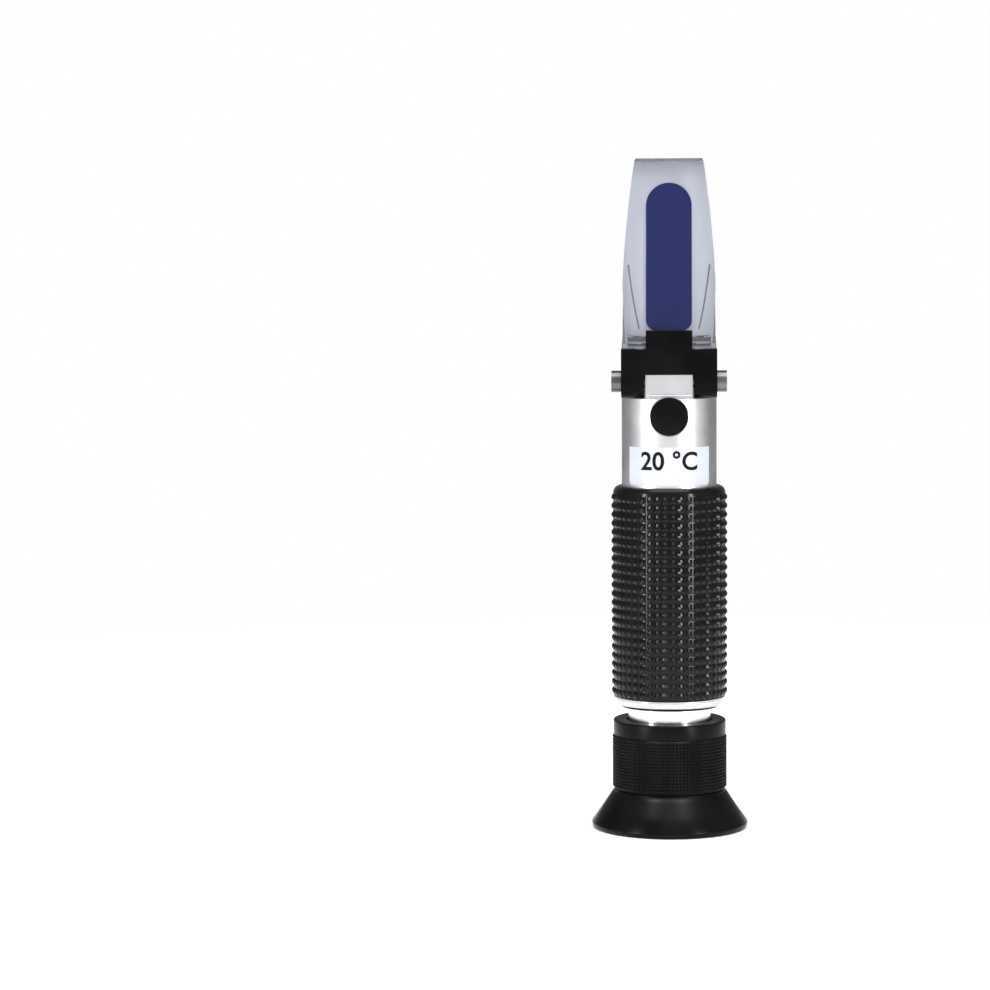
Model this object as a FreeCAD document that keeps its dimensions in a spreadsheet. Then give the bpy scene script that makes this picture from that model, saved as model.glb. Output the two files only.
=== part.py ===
"""Hand-held refractometer with a hinged daylight plate, screw calibration and a focusing eyepiece.

Millimetres.  +Z runs along the optical axis from the eyecup rim (z = 0) to the prism tip.  The daylight
plate and the calibration cap face -Y.  Turned pieces are revolved about +Z, the prism end is cut from
outlines drawn from the front (XZ) and from the side (YZ).
"""
import FreeCAD, Part
import math
import os
import Sketcher
from FreeCAD import Vector

SIZES = (
    # eyepiece end
    ("rim_radius", 19.8, "widest radius of the eyecup"),
    ("rim_height", 1.2, "height of the widest point over the rim plane"),
    ("rim_outer_flat", 19.0, "outer radius of the flat that the rim rests on"),
    ("rim_inner_flat", 17.6, "inner radius of that flat"),
    ("rim_round", 1.3, "rounding between the flat and the widest point"),
    ("cup_height", 10.0, "height of the eyecup"),
    ("cup_top_step", 0.4, "how far the eyecup's top stands back from the knurl"),
    ("cup_hollow", 5.2, "depth of the eye hollow"),
    ("cup_lip_radius", 9.6, "radius of the hollow at its bottom"),
    ("cup_lip", 0.9, "thickness of the lip under the focus ring's spigot"),
    ("spigot_wall", 1.1, "wall of the focus ring's spigot inside the eyecup"),
    ("ring_wall", 3.7, "wall of the focus ring under its knurl"),
    ("ring_band_step", 0.3, "how far the smooth band stands back from the knurl"),
    ("ring_knurl_top", 24.0, "height where the knurl ends"),
    ("ring_top", 27.8, "top of the focus ring"),
    ("ring_chamfer", 0.5, "edge of the focus ring"),
    ("eye_opening", 7.4, "radius of the hole that the eye looks through"),
    ("neck_radius", 10.5, "outside of the fixed eyepiece tube"),
    ("neck_bore", 8.9, "bore of the fixed eyepiece tube"),
    ("focus_travel", 2.5, "axial travel of the eyepiece either way"),
    ("ring_floor", 2.4, "thickness of the focus ring under the eyepiece barrel"),
    ("retainer_height", 1.0, "snap ring that holds the barrel's flange"),
    ("flange_height", 2.0, "height of the eyepiece barrel's flange"),
    ("flange_play", 0.6, "radial gap between that flange and the focus ring"),
    ("barrel_wall", 1.2, "wall of the eyepiece barrel"),
    ("barrel_length", 22.8, "length of the eyepiece barrel"),
    ("lens_seat", 0.9, "shoulder that a lens rests on"),
    ("lens_edge", 2.4, "edge thickness of the eye lens and the field lens"),
    ("lens_dome", 1.2, "rise of their curved faces"),
    ("lens_spacing", 9.0, "length of the spacer between the two"),
    ("lens_ring_height", 1.7, "threaded ring over the field lens"),
    ("key_radius", 0.8, "pin that keeps the barrel from turning"),
    ("key_depth", 0.7, "depth of the barrel's keyway"),
    ("key_drop", 3.5, "distance of that pin below the top of the focus ring"),
    # barrel
    ("tube_radius", 12.0, "outside of the main tube and the head"),
    ("tube_wall", 2.0, "wall of the main tube"),
    ("neck_gap", 3.4, "length of the fixed eyepiece tube that shows at rest"),
    ("end_ring_height", 2.6, "height of the bevelled end ring"),
    ("end_ring_foot", 0.1, "how far the foot's edge is inside the middle of the end ring's wall"),
    ("end_ring_round", 2.1, "radius of the end ring's curved bevel"),
    ("end_ring_land", 0.2, "straight edge over that bevel"),
    ("end_ring_web", 0.6, "thickness of the end ring over the neck's shoulder"),
    ("grip_wall", 2.2, "thickness of the grip between its studs"),
    ("stud_height", 0.5, "height of the grip's studs"),
    ("grip_length", 53.7, "length of the rubber grip"),
    ("grip_edge", 1.8, "rounding of the grip's upper edge"),
    ("joint_cover", 7.5, "how far the grip reaches over the joint of the main tube and the head"),
    ("tube_spigot", 8.0, "length of each spigot inside the main tube"),
    ("head_wall", 4.0, "wall of the head beside its bore"),
    ("head_roof", 2.0, "metal between that bore and the hinge shoulder"),
    ("head_exposed", 22.3, "length of the head between the grip and the hinge shoulder"),
    ("lock_screw_radius", 1.0, "screws that lock the head in the main tube"),
    ("reticle_radius", 8.5, "glass disc that carries the scale"),
    ("reticle_thickness", 1.5, "thickness of that disc"),
    ("reticle_level", 10.0, "height of the reticle holder over the main tube's end"),
    ("holder_height", 4.0, "height of the reticle holder"),
    ("spacer_wall", 0.8, "wall of the spacer tubes"),
    ("baffle_height", 1.8, "thickness of the light baffle"),
    ("baffle_opening", 5.0, "radius of the hole in the light baffle"),
    # label
    ("label_bottom", 12.05, "distance of the hinge shoulder's level over the label's top"),
    ("label_height", 9.7, "height of the printed label"),
    ("label_thickness", 0.12, "thickness of the printed label"),
    ("label_angle", 111.0, "degrees of the tube that the label covers"),
    # calibration and compensation
    ("cap_drop", 4.35, "distance of the calibration axis below the hinge shoulder"),
    ("cap_radius", 4.8, "radius of the rubber cap"),
    ("cap_flange", 1.0, "thickness of the cap's edge"),
    ("cap_dome", 0.5, "height of the cap's dome"),
    ("plug_radius", 3.1, "plug of the cap"),
    ("plug_length", 2.2, "length of that plug, which is hollow over the screw"),
    ("spot_face", 11.0, "distance of the cap's flat seat from the optical axis"),
    ("bush_radius", 3.9, "threaded bush of the calibration screw"),
    ("screw_radius", 1.95, "calibration screw"),
    ("screw_length", 2.7, "length of that screw"),
    ("slot_width", 0.6, "screwdriver slot"),
    ("carrier_radius", 5.6, "outside of the objective's carrier"),
    ("carrier_bottom", 4.4, "distance of the carrier's lower end below the calibration axis"),
    ("carrier_top", 2.0, "distance of its upper end over that axis"),
    ("carrier_travel", 0.25, "sideways travel of the carrier either way"),
    ("objective_radius", 4.7, "radius of the objective lens"),
    ("objective_edge", 1.6, "edge thickness of the objective lens"),
    ("objective_dome", 0.8, "rise of its curved face"),
    ("strip_width", 4.0, "width of the bimetal strip"),
    ("strip_thickness", 0.5, "thickness of the bimetal strip"),
    ("strip_length", 22.0, "length of the bimetal strip"),
    ("clamp_width", 6.0, "width of the bimetal strip's clamp"),
    ("clamp_height", 5.0, "height of that clamp"),
    ("clamp_screw_radius", 0.7, "screws of that clamp"),
    # hinge
    ("hinge_radius", 4.1, "rounded end of the hinge legs"),
    ("hinge_front", 11.7, "distance of the hinge block's front from the optical axis"),
    ("hinge_play", 0.25, "clearance between the hinge block and the head"),
    ("pin_radius", 1.5, "hinge pin"),
    ("pin_head_radius", 2.7, "head and nut of the hinge pin"),
    ("pin_head_length", 2.4, "length of each of them"),
    ("lug_half_width", 5.9, "half the width of the lug between the hinge legs"),
    ("lug_margin", 0.09, "how much the lug's round exceeds the legs'"),
    ("lug_foot", 2.2, "how far the lug's foot reaches in front of the pin"),
    ("lug_front", 10.4, "distance of the lug's flat front from the optical axis"),
    ("leg_gap", 0.35, "gap between the lug and each leg"),
    ("block_rise", 8.1, "height of the hinge block over the pin"),
    ("tab_half_width", 5.8, "half the width of the tab on the hinge block"),
    ("tab_height", 4.7, "height of that tab over the block"),
    # prism end
    ("tip_rise", 60.15, "height of the tip over the hinge shoulder"),
    ("taper_start", 3.1, "height over the hinge block where the sides begin to draw in"),
    ("taper_radius", 300.0, "radius of the drawn-in sides"),
    ("tip_half_width", 8.6, "half the width of the tip"),
    ("plate_front", 9.64, "distance of the plate's front from the optical axis at the taper's start"),
    ("plate_slope", 0.2, "backward lean of the plate for each unit of height"),
    ("plate_depth", 4.6, "depth of the daylight plate along Y"),
    ("film_gap", 0.15, "gap for the sample between the plate and the prism"),
    ("nose_inset", 0.3, "how far the metal nose stands back from the plate's sides"),
    ("prism_wall", 1.35, "metal beside the prism"),
    ("prism_back", 6.6, "distance of the prism's back from the optical axis"),
    ("prism_top_margin", 4.5, "metal and clamp over the prism"),
    ("prism_clamp_height", 2.4, "height of the prism's clamp"),
    ("prism_screw_radius", 0.9, "screw of the prism's clamp"),
    ("prism_screw_reach", 1.65, "depth of that screw in the clamp"),
    ("gasket_thickness", 0.45, "gasket under the prism"),
    ("nose_floor", 0.9, "metal under the prism's gasket"),
    ("aperture_radius", 3.9, "radius of the light path under the prism"),
    ("aperture_offset", 1.6, "distance of the light path behind the optical axis"),
    ("filter_half_width", 5.75, "half the width of the blue window"),
    ("filter_depth", 0.8, "thickness of the blue window"),
    ("filter_foot", 4.35, "height of the blue window's foot over the hinge block"),
    ("filter_top_margin", 6.4, "clear plastic over the blue window"),
    ("filter_corner", 2.5, "rounding of the blue window's lower corners"),
    # clearances
    ("fit_gap", 0.05, "radial clearance between pieces that are fitted together"),
    ("run_gap", 0.2, "radial clearance between pieces that slide or turn"),
)


class Size:
    """A length with its spreadsheet expression and its present value."""

    def __init__(self, text, number):
        self.text = text
        self.number = number

    def __add__(self, other):
        other = as_size(other)
        return Size(f"({self.text} + {other.text})", self.number + other.number)

    def __sub__(self, other):
        other = as_size(other)
        return Size(f"({self.text} - {other.text})", self.number - other.number)

    def __mul__(self, other):
        other = as_size(other)
        return Size(f"({self.text} * {other.text})", self.number * other.number)

    def __truediv__(self, other):
        other = as_size(other)
        return Size(f"({self.text} / {other.text})", self.number / other.number)

    def __neg__(self):
        return Size(f"(0 - {self.text})", -self.number)


def as_size(value):
    if isinstance(value, Size):
        return value
    return Size(repr(float(value)), float(value))


class SizeSheet:
    """The spreadsheet of driving dimensions: each alias is also an attribute that holds a Size."""

    def __init__(self, document):
        sheet = document.addObject("Spreadsheet::Sheet", "Sizes")
        for row, (alias, value, note) in enumerate(SIZES, start=1):
            sheet.set(f"A{row}", str(value))
            sheet.setAlias(f"A{row}", alias)
            sheet.set(f"B{row}", note)
            setattr(self, alias, Size(f"Sizes.{alias}", value))


document = FreeCAD.newDocument("Refractometer")
s = SizeSheet(document)
document.recompute()
nodes = {}


def bind(thing, **sizes):
    """Bind properties of a document object to sizes."""
    for name, value in sizes.items():
        thing.setExpression(name, as_size(value).text)


def place(thing, x=None, y=None, z=None, turn=None):
    """Put an object at bound coordinates; turn is an (axis, degrees) pair."""
    if turn:
        thing.Placement = FreeCAD.Placement(Vector(), FreeCAD.Rotation(*turn))
    for letter, value in zip("xyz", (x, y, z)):
        if value is not None:
            thing.setExpression(f"Placement.Base.{letter}", as_size(value).text)
    return thing


def node(label, thing):
    """Name an object as a finished piece of the refractometer."""
    thing.Label = label
    nodes[label] = thing
    return thing


def arc_middle(start, end, radius):
    """Middle of the arc from start to end that bulges to the right of its chord."""
    chord = end - start
    half = chord.Length / 2
    rise = radius - math.sqrt(max(radius * radius - half * half, 0.0))
    right = Vector(chord.y, -chord.x, 0).normalize()
    return start + chord * 0.5 + right * rise


def outline(body, plane, points, arcs=None):
    """A closed sketch through (across, up) sizes; arcs maps an edge's number to its radius.

    Points run counter-clockwise, so that a positive arc bulges outward.
    """
    sketch = body.newObject("Sketcher::SketchObject", "Outline")
    datum = next(part for part in body.Origin.OriginFeatures if part.Role == plane)
    sketch.AttachmentSupport = [(datum, "")]
    sketch.MapMode = "FlatFace"
    sizes = [(as_size(across), as_size(up)) for across, up in points]
    corners = [Vector(across.number, up.number, 0) for across, up in sizes]
    arcs = arcs or {}
    count = len(corners)
    for edge in range(count):
        start = corners[edge]
        end = corners[(edge + 1) % count]
        if edge in arcs:
            middle = arc_middle(start, end, arcs[edge].number)
            sketch.addGeometry(Part.Arc(start, middle, end))
        else:
            sketch.addGeometry(Part.LineSegment(start, end))
    ends = [edge_ends(sketch, edge, corners[edge]) for edge in range(count)]
    for edge in range(count):
        following = (edge + 1) % count
        constrain(sketch, "Coincident", edge, ends[edge][1], following, ends[following][0])
    for edge, (across, up) in enumerate(sizes):
        pin_coordinate(sketch, "X", edge, ends[edge][0], across)
        pin_coordinate(sketch, "Y", edge, ends[edge][0], up)
    for edge, radius in arcs.items():
        number = sketch.addConstraint(Sketcher.Constraint("Radius", edge, radius.number))
        sketch.setExpression(f"Constraints[{number}]", radius.text)
    return sketch


def edge_ends(sketch, edge, start):
    """Which end of an edge is its start: an arc's own ends always run counter-clockwise."""
    if sketch.getPoint(edge, 1).distanceToPoint(start) < 1e-6:
        return 1, 2
    return 2, 1


def constrain(sketch, kind, *where):
    return sketch.addConstraint(Sketcher.Constraint(kind, *where))


def pin_coordinate(sketch, letter, edge, end, value):
    """Fix one coordinate of an edge's end; a coordinate of zero lies on the sketch's own axis."""
    if value.number == 0.0:
        axis = -2 if letter == "X" else -1
        constrain(sketch, "PointOnObject", edge, end, axis)
        return
    number = constrain(sketch, f"Distance{letter}", -1, 1, edge, end, value.number)
    sketch.setExpression(f"Constraints[{number}]", value.text)


def turned(name, points, arcs=None, angle=None):
    """A body revolved about Z from (radius, height) points."""
    body = document.addObject("PartDesign::Body", name)
    sketch = outline(body, "XZ_Plane", points, arcs)
    revolution = body.newObject("PartDesign::Revolution", "Turn")
    revolution.Profile = sketch
    revolution.ReferenceAxis = (sketch, ["V_Axis"])
    if angle:
        revolution.Midplane = True
        bind(revolution, Angle=angle)
    return body


def padded(name, plane, points, length, arcs=None, centred=True):
    """A body padded from an outline, evenly to both sides of its plane."""
    body = document.addObject("PartDesign::Body", name)
    sketch = outline(body, plane, points, arcs)
    pad = body.newObject("PartDesign::Pad", "Pad")
    pad.Profile = sketch
    pad.Midplane = centred
    bind(pad, Length=length)
    return body


def cylinder(name, radius, length, x=None, y=None, z=None, turn=None):
    shape = document.addObject("Part::Cylinder", name)
    bind(shape, Radius=radius, Height=length)
    return place(shape, x, y, z, turn)


def block(name, low, high):
    """A box between two corners of sizes."""
    low = [as_size(value) for value in low]
    high = [as_size(value) for value in high]
    shape = document.addObject("Part::Box", name)
    extents = [top - bottom for bottom, top in zip(low, high)]
    bind(shape, Length=extents[0], Width=extents[1], Height=extents[2])
    return place(shape, *low)


def fused(name, *shapes):
    union = document.addObject("Part::MultiFuse", name)
    union.Shapes = list(shapes)
    return union


def common(name, *shapes):
    shared = document.addObject("Part::MultiCommon", name)
    shared.Shapes = list(shapes)
    return shared


def cut(name, base, *tools):
    """Cut one or more tools out of a base."""
    difference = document.addObject("Part::Cut", name)
    difference.Base = base
    difference.Tool = tools[0] if len(tools) == 1 else fused(f"{name}_tools", *tools)
    return difference


def group(name, *shapes):
    """Several separate solids of one kind as one piece."""
    compound = document.addObject("Part::Compound", name)
    compound.Links = list(shapes)
    return compound


ALONG_X = (Vector(0, 1, 0), 90)
AGAINST_X = (Vector(0, 1, 0), -90)
AGAINST_Y = (Vector(1, 0, 0), 90)
UPRIGHT = (Vector(0, 0, 1), -90)


def diagonal(across, up):
    """Length of the diagonal of a rectangle."""
    length = math.hypot(across.number, up.number)
    return Size(f"sqrt({across.text} ^ 2 + {up.text} ^ 2)", length)


def dome_radius(half, rise):
    """Radius of the sphere whose cap has this half-width and rise."""
    return (half * half + rise * rise) / (rise * 2)


# Levels along the optical axis
spigot_bottom = s.cup_hollow + s.cup_lip
ring_floor = spigot_bottom + s.ring_floor
flange_bottom = ring_floor + s.fit_gap * 2
flange_top = flange_bottom + s.flange_height
retainer_bottom = flange_top + s.fit_gap * 2
retainer_top = retainer_bottom + s.retainer_height
neck_bottom = retainer_top + s.focus_travel + s.run_gap * 2
end_ring_foot = s.ring_top + s.neck_gap
tube_bottom = end_ring_foot + s.end_ring_height
neck_shoulder = tube_bottom - s.end_ring_web
grip_top = tube_bottom + s.grip_length
head_bottom = grip_top - s.joint_cover
shoulder = grip_top + s.head_exposed
cap_level = shoulder - s.cap_drop
bore_top = shoulder - s.head_roof
hinge_level = shoulder + s.hinge_play + s.hinge_radius
block_top = hinge_level + s.block_rise
taper_level = block_top + s.taper_start
tip_level = shoulder + s.tip_rise
nose_bottom = hinge_level + diagonal(s.block_rise, s.hinge_radius) + s.run_gap
gasket_level = nose_bottom + s.nose_floor
prism_bottom = gasket_level + s.gasket_thickness
prism_top = tip_level - s.prism_top_margin

# Distances across
tube_bore = s.tube_radius - s.tube_wall
tube_fit = tube_bore - s.fit_gap
head_bore = s.tube_radius - s.head_wall
grip_base = s.tube_radius + s.grip_wall
ring_bore = s.neck_radius + s.run_gap * 2
ring_radius = ring_bore + s.ring_wall
band_radius = ring_radius - s.ring_band_step
spigot_radius = ring_bore + s.spigot_wall
flange_radius = ring_bore - s.flange_play
barrel_radius = s.neck_bore - s.run_gap
barrel_bore = barrel_radius - s.barrel_wall
lens_radius = barrel_bore - s.fit_gap
hinge_y = s.hinge_radius - s.hinge_front
block_back = hinge_y + s.hinge_radius
whole_width = s.tube_radius * 3     # wider than any piece of the prism end
pocket_back = block_back + s.hinge_play
leg_inside = s.lug_half_width + s.leg_gap


def plate_face(level):
    """Y of the daylight plate's front at a level."""
    return (level - taper_level) * s.plate_slope - s.plate_front


def prism_face(level):
    """Y of the prism's face at a level."""
    return plate_face(level) + s.plate_depth + s.film_gap


def tube(name, inner, outer, bottom, top):
    """A plain ring or tube about the optical axis."""
    return turned(name, [(inner, bottom), (outer, bottom), (outer, top), (inner, top)])


def lens(name, radius, bottom, edge, dome):
    """A lens with a flat lower face, a flat edge to be held by and a domed upper face."""
    top = bottom + edge
    dome_half = radius - s.lens_seat - s.fit_gap
    points = [(0, bottom), (radius, bottom), (radius, top), (dome_half, top), (0, top + dome)]
    return turned(name, points, {3: dome_radius(dome_half, dome)})


def make_focus_ring():
    cup_points = [
        (s.rim_inner_flat, 0),
        (s.rim_outer_flat, 0),
        (s.rim_radius, s.rim_height),
        (ring_radius - s.cup_top_step, s.cup_height),
        (spigot_radius + s.fit_gap, s.cup_height),
        (spigot_radius + s.fit_gap, spigot_bottom),
        (s.cup_lip_radius, spigot_bottom),
        (s.cup_lip_radius, s.cup_hollow),
    ]
    node("eyecup", turned("Eyecup", cup_points, {1: s.rim_round}))
    ring_points = [
        (s.eye_opening, spigot_bottom),
        (spigot_radius, spigot_bottom),
        (spigot_radius, s.cup_height),
        (ring_radius - s.ring_chamfer, s.cup_height),
        (ring_radius, s.cup_height + s.ring_chamfer),
        (ring_radius, s.ring_knurl_top),
        (band_radius, s.ring_knurl_top),
        (band_radius, s.ring_top - s.ring_chamfer),
        (band_radius - s.ring_chamfer, s.ring_top),
        (ring_bore, s.ring_top),
        (ring_bore, ring_floor),
        (s.eye_opening, ring_floor),
    ]
    node("focus_ring", turned("FocusRing", ring_points))
    inner = barrel_radius + s.run_gap
    outer = ring_bore - s.fit_gap
    node("retainer_ring", tube("Retainer", inner, outer, retainer_bottom, retainer_top))


def make_eyepiece():
    seat = flange_bottom + s.lens_seat
    barrel_top = flange_bottom + s.barrel_length
    seat_radius = barrel_bore - s.lens_seat
    points = [
        (seat_radius, flange_bottom),
        (flange_radius, flange_bottom),
        (flange_radius, flange_top),
        (barrel_radius, flange_top),
        (barrel_radius, barrel_top),
        (barrel_bore, barrel_top),
        (barrel_bore, seat),
        (seat_radius, seat),
    ]
    key_level = s.ring_top - s.key_drop
    key_inside = barrel_radius - s.key_depth
    half_width = s.key_radius + s.fit_gap * 2
    half_height = half_width + s.focus_travel
    low = (key_inside, -half_width, key_level - half_height)
    high = (s.neck_radius, half_width, key_level + half_height)
    keyway = block("Keyway", low, high)
    node("eyepiece_barrel", cut("EyepieceBarrel", turned("BarrelBlank", points), keyway))
    spacer_bottom = seat + s.lens_edge
    spacer_top = spacer_bottom + s.lens_spacing
    ring_bottom = spacer_top + s.lens_edge
    node("eye_lens", lens("EyeLens", lens_radius, seat, s.lens_edge, s.lens_dome))
    node("lens_spacer", tube("LensSpacer", seat_radius, lens_radius, spacer_bottom, spacer_top))
    node("field_lens", lens("FieldLens", lens_radius, spacer_top, s.lens_edge, s.lens_dome))
    ring_top = ring_bottom + s.lens_ring_height
    node("eye_lens_ring", tube("LensRing", seat_radius, lens_radius, ring_bottom, ring_top))
    key_start = key_inside + s.fit_gap * 2
    key_length = s.neck_radius - key_start
    key = cylinder("Key", s.key_radius, key_length, x=key_start, z=key_level, turn=ALONG_X)
    node("focus_key", key)
    spigot_top = tube_bottom + s.tube_spigot
    neck_points = [
        (s.neck_bore, neck_bottom),
        (s.neck_radius, neck_bottom),
        (s.neck_radius, neck_shoulder),
        (tube_fit, neck_shoulder),
        (tube_fit, spigot_top),
        (s.neck_bore, spigot_top),
    ]
    key_hole = cylinder("KeyHole", s.key_radius, s.neck_radius, z=key_level, turn=ALONG_X)
    node("eyepiece_tube", cut("EyepieceTube", turned("NeckBlank", neck_points), key_hole))


def make_barrel():
    blank = tube("TubeBlank", tube_bore, s.tube_radius, tube_bottom, head_bottom)
    node("main_tube", cut("MainTube", blank, *lock_screws("TubeHole", s.fit_gap)))
    ring_points = [
        (s.neck_radius + s.fit_gap, end_ring_foot),
        ((s.neck_radius + grip_base) / 2 - s.end_ring_foot, end_ring_foot),
        (grip_base, tube_bottom - s.end_ring_land),
        (grip_base, tube_bottom),
        (tube_bore, tube_bottom),
        (tube_bore, neck_shoulder),
        (s.neck_radius + s.fit_gap, neck_shoulder),
    ]
    node("end_ring", turned("EndRing", ring_points, {1: s.end_ring_round}))
    grip_radius = grip_base + s.stud_height
    grip_points = [
        (s.tube_radius + s.fit_gap, tube_bottom),
        (grip_radius, tube_bottom),
        (grip_radius, grip_top - s.grip_edge),
        (grip_radius - s.grip_edge, grip_top),
        (s.tube_radius + s.fit_gap, grip_top),
    ]
    node("grip_sleeve", turned("GripSleeve", grip_points, {2: s.grip_edge}))
    node("tube_lock_screws", group("LockScrews", *lock_screws("LockScrew", as_size(0))))


def lock_screws(name, gap):
    """The screws through the main tube into the head's spigot, or the holes for them."""
    level = head_bottom - s.tube_spigot / 2
    start = head_bore + s.run_gap
    length = s.tube_radius - s.fit_gap - start
    radius = s.lock_screw_radius + gap
    right = cylinder(f"{name}Right", radius, length + gap * 2, x=start, z=level, turn=ALONG_X)
    left = cylinder(f"{name}Left", radius, length + gap * 2, x=-start, z=level, turn=AGAINST_X)
    return right, left


def make_reticle():
    holder_bottom = tube_bottom + s.reticle_level
    holder_top = holder_bottom + s.holder_height
    disc_bottom = holder_bottom + s.reticle_thickness
    disc_top = disc_bottom + s.reticle_thickness
    opening = s.reticle_radius - s.lens_seat
    pocket = s.reticle_radius + s.fit_gap
    points = [
        (opening, holder_bottom),
        (tube_fit, holder_bottom),
        (tube_fit, holder_top),
        (pocket, holder_top),
        (pocket, disc_bottom),
        (opening, disc_bottom),
    ]
    node("reticle_holder", turned("ReticleHolder", points))
    node("reticle", tube_disc("Reticle", s.reticle_radius, disc_bottom, disc_top))
    node("reticle_ring", tube("ReticleRing", opening, s.reticle_radius, disc_top, holder_top))
    spacer_inside = tube_fit - s.spacer_wall
    baffle_top = head_bottom - s.tube_spigot
    baffle_bottom = baffle_top - s.baffle_height
    lower_bottom = tube_bottom + s.tube_spigot
    node("spacer_tube", tube("SpacerTube", spacer_inside, tube_fit, holder_top, baffle_bottom))
    node("reticle_spacer", tube("ReticleSpacer", spacer_inside, tube_fit, lower_bottom, holder_bottom))
    node("light_baffle", tube("LightBaffle", s.baffle_opening, tube_fit, baffle_bottom, baffle_top))


def tube_disc(name, radius, bottom, top):
    return turned(name, [(0, bottom), (radius, bottom), (radius, top), (0, top)])


def make_calibration():
    seat = s.spot_face + s.fit_gap
    edge = seat + s.cap_flange
    plug_end = s.spot_face - s.plug_length
    plug_hollow = s.screw_radius + s.run_gap
    cap_points = [
        (0, s.spot_face),
        (plug_hollow, s.spot_face),
        (plug_hollow, plug_end),
        (s.plug_radius, plug_end),
        (s.plug_radius, seat),
        (s.cap_radius, seat),
        (s.cap_radius, edge),
        (0, edge + s.cap_dome),
    ]
    cap = turned("Cap", cap_points, {6: dome_radius(s.cap_radius, s.cap_dome)})
    node("calibration_cap", place(cap, z=cap_level, turn=AGAINST_Y))
    bush_inner = s.carrier_radius + s.carrier_travel + s.run_gap * 2
    bush_seat = plug_end - s.run_gap
    bush_points = [
        (s.screw_radius + s.fit_gap, bush_inner),
        (s.bush_radius, bush_inner),
        (s.bush_radius, s.spot_face),
        (s.plug_radius + s.fit_gap, s.spot_face),
        (s.plug_radius + s.fit_gap, bush_seat),
        (s.screw_radius + s.fit_gap, bush_seat),
    ]
    bush = turned("Bush", bush_points)
    node("calibration_bush", place(bush, z=cap_level, turn=AGAINST_Y))
    screw_start = s.carrier_radius + s.fit_gap
    screw_end = screw_start + s.screw_length
    shank = cylinder("ScrewShank", s.screw_radius, s.screw_length, y=-screw_start, z=cap_level,
                     turn=AGAINST_Y)
    slot_low = (-s.screw_radius, -screw_end, cap_level - s.slot_width / 2)
    slot_high = (s.screw_radius, s.slot_width - screw_end, cap_level + s.slot_width / 2)
    node("calibration_screw", cut("CalibrationScrew", shank, block("Slot", slot_low, slot_high)))


def make_carrier():
    bottom = cap_level - s.carrier_bottom
    top = cap_level + s.carrier_top
    seat = bottom + s.lens_seat
    opening = s.objective_radius - s.lens_seat
    pocket = s.objective_radius + s.fit_gap
    points = [
        (opening, bottom),
        (s.carrier_radius, bottom),
        (s.carrier_radius, top),
        (pocket, top),
        (pocket, seat),
        (opening, seat),
    ]
    flat = (s.carrier_radius + pocket) / 2
    strip_back = flat + s.strip_thickness
    half = s.strip_width / 2
    flat_cut = block("CarrierFlat", (-s.carrier_radius, flat, bottom), (s.carrier_radius, strip_back, top))
    node("lens_carrier", cut("LensCarrier", turned("CarrierBlank", points), flat_cut))
    lens_top = seat + s.objective_edge
    node("objective_lens", lens("Objective", s.objective_radius, seat, s.objective_edge, s.objective_dome))
    node("objective_ring", tube("ObjectiveRing", opening, s.objective_radius, lens_top, top))
    strip_bottom = top - s.strip_length
    node("bimetal_strip", block("Strip", (-half, flat, strip_bottom), (half, strip_back, top)))
    clamp_front = strip_back + s.carrier_travel + s.fit_gap * 2
    clamp_top = strip_bottom + s.clamp_height / 2
    clamp_bottom = clamp_top - s.clamp_height
    clamp_half = s.clamp_width / 2
    clamp_box = block("ClampBox", (-clamp_half, clamp_front, clamp_bottom),
                      (clamp_half, head_bore, clamp_top))
    bore = cylinder("ClampBore", head_bore - s.fit_gap, s.clamp_height, z=clamp_bottom)
    blank = common("ClampBlank", clamp_box, bore)
    node("bimetal_clamp", cut("BimetalClamp", blank, *clamp_screws("ClampHole", clamp_front, s.fit_gap)))
    node("clamp_screws", group("ClampScrews", *clamp_screws("ClampScrew", clamp_front, as_size(0))))


def clamp_screws(name, start, gap):
    """The screws that hold the bimetal strip's clamp, or the holes for them."""
    middle = cap_level + s.carrier_top - s.strip_length
    length = (head_bore + s.tube_radius) / 2 - start + gap
    offset = s.clamp_width / 4
    radius = s.clamp_screw_radius + gap
    sides = (offset, -offset)
    return [
        cylinder(f"{name}{index}", radius, length, x=side, y=start + length, z=middle, turn=AGAINST_Y)
        for index, side in enumerate(sides)
    ]


def front_outline(name, inset, bottom):
    """Everything inside the drawn-in sides, as seen from the front."""
    wide = s.tube_radius - inset
    tip = s.tip_half_width - inset
    points = [
        (-s.tube_radius, bottom),
        (s.tube_radius, bottom),
        (s.tube_radius, block_top),
        (wide, taper_level),
        (tip, tip_level),
        (-tip, tip_level),
        (-wide, taper_level),
        (-s.tube_radius, block_top),
    ]
    return padded(name, "XZ_Plane", points, whole_width, {3: s.taper_radius, 5: s.taper_radius})


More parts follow.
